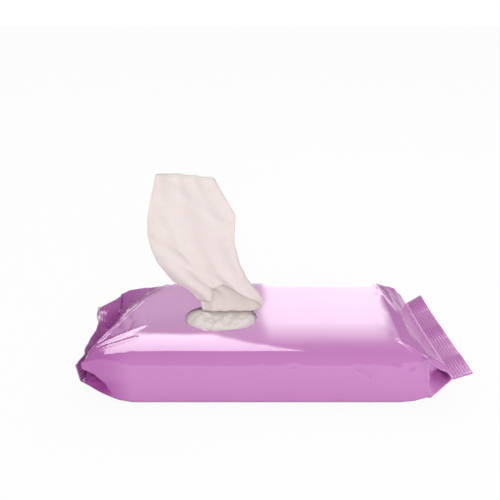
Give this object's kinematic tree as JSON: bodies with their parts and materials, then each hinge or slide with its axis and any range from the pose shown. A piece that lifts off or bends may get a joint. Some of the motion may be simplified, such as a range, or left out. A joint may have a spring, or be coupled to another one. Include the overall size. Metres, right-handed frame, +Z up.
{
  "type": "wet wipes packet",
  "caption": "Soft film packet of interfolded wet wipes with gusseted ends, crimped end seals and an oval hole in its top, through which the first wipe is drawn up.",
  "frame": {"origin": "on the underside, in the middle of the packet's body, where it stands on a table", "axes": "+X along the packet's length, towards its right end; +Y across it, towards the back; +Z up, out of the side with the dispensing hole"},
  "size_m": [0.2486, 0.0982, 0.1361],
  "materials": {
    "film": "glossy violet film",
    "wipe": "soft matt nonwoven cloth"
  },
  "bodies": {
    "root": {"film_wrap": "film", "drawn_wipe": "wipe", "lifted_wipe": "wipe", "folded_wipe_03": "wipe", "folded_wipe_04": "wipe", "folded_wipe_05": "wipe", "folded_wipe_06": "wipe", "folded_wipe_07": "wipe", "folded_wipe_08": "wipe", "folded_wipe_09": "wipe", "folded_wipe_10": "wipe", "folded_wipe_11": "wipe", "folded_wipe_12": "wipe", "folded_wipe_13": "wipe", "folded_wipe_14": "wipe", "folded_wipe_15": "wipe", "folded_wipe_16": "wipe", "folded_wipe_17": "wipe", "folded_wipe_18": "wipe", "folded_wipe_19": "wipe"}
  },
  "joints": []
}
